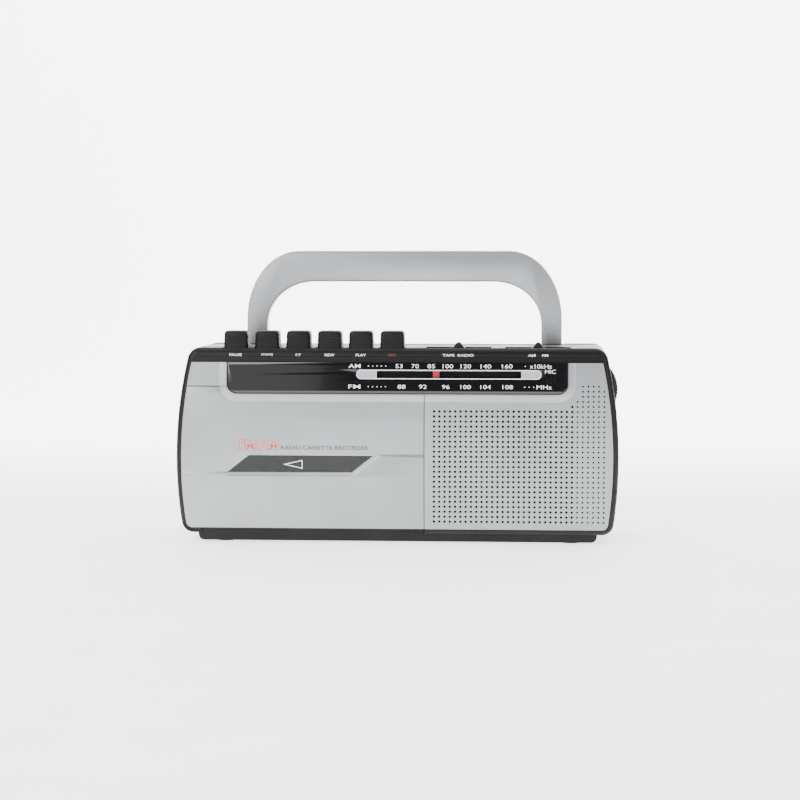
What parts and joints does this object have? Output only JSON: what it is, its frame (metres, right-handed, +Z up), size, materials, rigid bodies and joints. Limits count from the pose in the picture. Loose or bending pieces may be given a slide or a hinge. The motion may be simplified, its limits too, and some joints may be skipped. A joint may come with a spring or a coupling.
{
  "type": "portable radio cassette recorder",
  "caption": "Small portable radio and cassette recorder with a folding carry handle, front-loading tape door, piano keys on top, tuning dial and perforated speaker panel.",
  "frame": {"origin": "on the surface it stands on, under the middle of its bounding box", "axes": "+X to the right of someone facing the front (the longest side), -Y out of the front, +Z up"},
  "size_m": [0.223, 0.072, 0.1474],
  "materials": {
    "black_case": "satin moulded",
    "silver_paint": "metallic silver paint",
    "silver_handle": "metallic silver paint",
    "dial_glass": "clear gloss lens",
    "dial_back": "matt",
    "smoked_window": "smoked clear",
    "key_black": "satin",
    "pointer_red": "bright",
    "inner_plastic": "moulded",
    "rubber_black": "moulded",
    "steel": "zinc plated",
    "chrome_tube": "polished",
    "brass_part": "turned",
    "board_green": "resin board",
    "can_blue": "sleeved",
    "can_metal": "plated",
    "ferrite": "sintered",
    "copper_wire": "enamelled",
    "paper_cone": "pressed pulp",
    "core_steel": "laminated",
    "white_nylon": "moulded"
  },
  "bodies": {
    "cabinet": {"front_cabinet": "black_case", "rear_cabinet": "black_case", "speaker_panel": "silver_paint", "corner_panel": "silver_paint", "dial_lens": "dial_glass", "dial_plate": "dial_back", "microphone": "can_metal", "tuning_capacitor": "inner_plastic", "dial_cord": "white_nylon", "volume_potentiometer": "steel", "switch_housings": "inner_plastic", "speaker_frame": "steel", "speaker_cone": "paper_cone", "speaker_magnet": "ferrite", "main_board": "board_green", "board_capacitors": "can_blue", "if_transformers": "can_metal", "ferrite_rod": "ferrite", "ferrite_coil": "copper_wire", "transformer_core": "core_steel", "transformer_winding": "copper_wire", "mains_inlet": "inner_plastic", "headphone_jack": "inner_plastic", "mechanism_chassis": "steel", "flywheel_bracket": "steel", "drive_motor": "can_metal", "drive_belt": "rubber_black", "battery_contacts": "steel", "handle_pivots": "steel", "antenna_pin": "steel", "plinth": "black_case", "rubber_feet": "rubber_black", "cabinet_screws": "steel"},
    "handle": {"carry_handle": "silver_handle"},
    "door": {"door_cover": "silver_paint", "door_window": "smoked_window", "cassette_holder": "inner_plastic"},
    "battery_cover": {"battery_door": "black_case"},
    "pause": {"pause_key": "key_black"},
    "stop_eject": {"stop_eject_key": "key_black"},
    "fast_forward": {"fast_forward_key": "key_black"},
    "rewind": {"rewind_key": "key_black"},
    "play": {"play_key": "key_black"},
    "record": {"record_key": "key_black"},
    "heads": {"head_bridge": "steel", "record_play_head": "can_metal", "erase_head": "inner_plastic"},
    "roller": {"pinch_roller": "rubber_black"},
    "flywheel": {"flywheel": "steel"},
    "motor_rotor": {"motor_pulley": "brass_part"},
    "takeup": {"takeup_spindle": "inner_plastic"},
    "supply": {"supply_spindle": "inner_plastic"},
    "tuner": {"tuning_wheel": "key_black"},
    "pointer": {"dial_pointer": "pointer_red"},
    "volume": {"volume_wheel": "key_black"},
    "function_switch": {"function_slider": "key_black"},
    "band_switch": {"band_slider": "key_black"},
    "aerial_base": {"antenna_base": "chrome_tube"},
    "aerial_middle": {"antenna_middle": "chrome_tube"},
    "aerial_tip": {"antenna_tip": "chrome_tube"}
  },
  "joints": [
    {"name": "handle_fold", "type": "hinge", "parent": "cabinet", "child": "handle", "pos_m": [0, 0.0315, 0.0925], "axis": [1, 0, 0], "range_deg": [-180, 0]},
    {"name": "door_hinge", "type": "hinge", "parent": "cabinet", "child": "door", "pos_m": [0, -0.0306, 0.0084], "axis": [1, 0, 0], "range_deg": [0, 32]},
    {"name": "battery_cover_off", "type": "slide", "parent": "cabinet", "child": "battery_cover", "axis": [0, 1, 0], "range_m": [0, 0.04]},
    {"name": "pause_press", "type": "slide", "parent": "cabinet", "child": "pause", "axis": [0, 0, -1], "range_m": [0, 0.0045], "stiffness_N_per_m": 250, "springref_m": -0.0012},
    {"name": "stop_eject_press", "type": "slide", "parent": "cabinet", "child": "stop_eject", "axis": [0, 0, -1], "range_m": [0, 0.0045], "stiffness_N_per_m": 250, "springref_m": -0.0012},
    {"name": "fast_forward_press", "type": "slide", "parent": "cabinet", "child": "fast_forward", "axis": [0, 0, -1], "range_m": [0, 0.0045], "stiffness_N_per_m": 250, "springref_m": -0.0012},
    {"name": "rewind_press", "type": "slide", "parent": "cabinet", "child": "rewind", "axis": [0, 0, -1], "range_m": [0, 0.0045], "stiffness_N_per_m": 250, "springref_m": -0.0012},
    {"name": "play_press", "type": "slide", "parent": "cabinet", "child": "play", "axis": [0, 0, -1], "range_m": [0, 0.0045], "stiffness_N_per_m": 250, "springref_m": -0.0012},
    {"name": "record_press", "type": "slide", "parent": "cabinet", "child": "record", "axis": [0, 0, -1], "range_m": [0, 0.0045], "stiffness_N_per_m": 250, "springref_m": -0.0012},
    {"name": "head_engage", "type": "slide", "parent": "cabinet", "child": "heads", "axis": [0, 0, -1], "range_m": [0, 0.0045]},
    {"name": "roller_spin", "type": "hinge", "parent": "heads", "child": "roller", "pos_m": [-0.0695, -0.0254, 0.0776], "axis": [0, 1, 0], "continuous": true},
    {"name": "flywheel_spin", "type": "hinge", "parent": "cabinet", "child": "flywheel", "pos_m": [-0.0695, -0.006, 0.066], "axis": [0, 1, 0], "continuous": true},
    {"name": "motor_spin", "type": "hinge", "parent": "cabinet", "child": "motor_rotor", "pos_m": [-0.022, -0.006, 0.058], "axis": [0, 1, 0], "continuous": true},
    {"name": "takeup_spin", "type": "hinge", "parent": "cabinet", "child": "takeup", "pos_m": [-0.06525, -0.017, 0.037], "axis": [0, 1, 0], "continuous": true},
    {"name": "supply_spin", "type": "hinge", "parent": "cabinet", "child": "supply", "pos_m": [-0.02275, -0.017, 0.037], "axis": [0, 1, 0], "continuous": true},
    {"name": "tuning_turn", "type": "hinge", "parent": "cabinet", "child": "tuner", "pos_m": [0.09398, -0.023, 0.078], "axis": [0, 1, 0], "range_deg": [-135, 135]},
    {"name": "pointer_travel", "type": "slide", "parent": "cabinet", "child": "pointer", "axis": [1, 0, 0], "range_m": [-0.028, 0.028]},
    {"name": "volume_turn", "type": "hinge", "parent": "cabinet", "child": "volume", "pos_m": [-0.09998, 0.011, 0.078], "axis": [0, 1, 0], "range_deg": [-135, 135]},
    {"name": "function_slide", "type": "slide", "parent": "cabinet", "child": "function_switch", "axis": [1, 0, 0], "range_m": [-0.005, 0.005]},
    {"name": "band_slide", "type": "slide", "parent": "cabinet", "child": "band_switch", "axis": [1, 0, 0], "range_m": [-0.005, 0.005]},
    {"name": "aerial_tilt", "type": "hinge", "parent": "cabinet", "child": "aerial_base", "pos_m": [0.097, 0.017, 0.0952], "axis": [0, 1, 0], "range_deg": [0, 90]},
    {"name": "aerial_pull", "type": "slide", "parent": "aerial_base", "child": "aerial_middle", "axis": [-1, 0, 0], "range_m": [0, 0.11]},
    {"name": "aerial_tip_pull", "type": "slide", "parent": "aerial_middle", "child": "aerial_tip", "axis": [-1, 0, 0], "range_m": [0, 0.11]}
  ],
  "couplings": [
    {"joint": "head_engage", "follows": "play_press", "ratio": 1},
    {"joint": "motor_spin", "follows": "flywheel_spin", "ratio": 5.3529},
    {"joint": "pointer_travel", "follows": "tuning_turn", "m_per_rad": 0.0118},
    {"joint": "aerial_tip_pull", "follows": "aerial_pull", "ratio": 1}
  ]
}
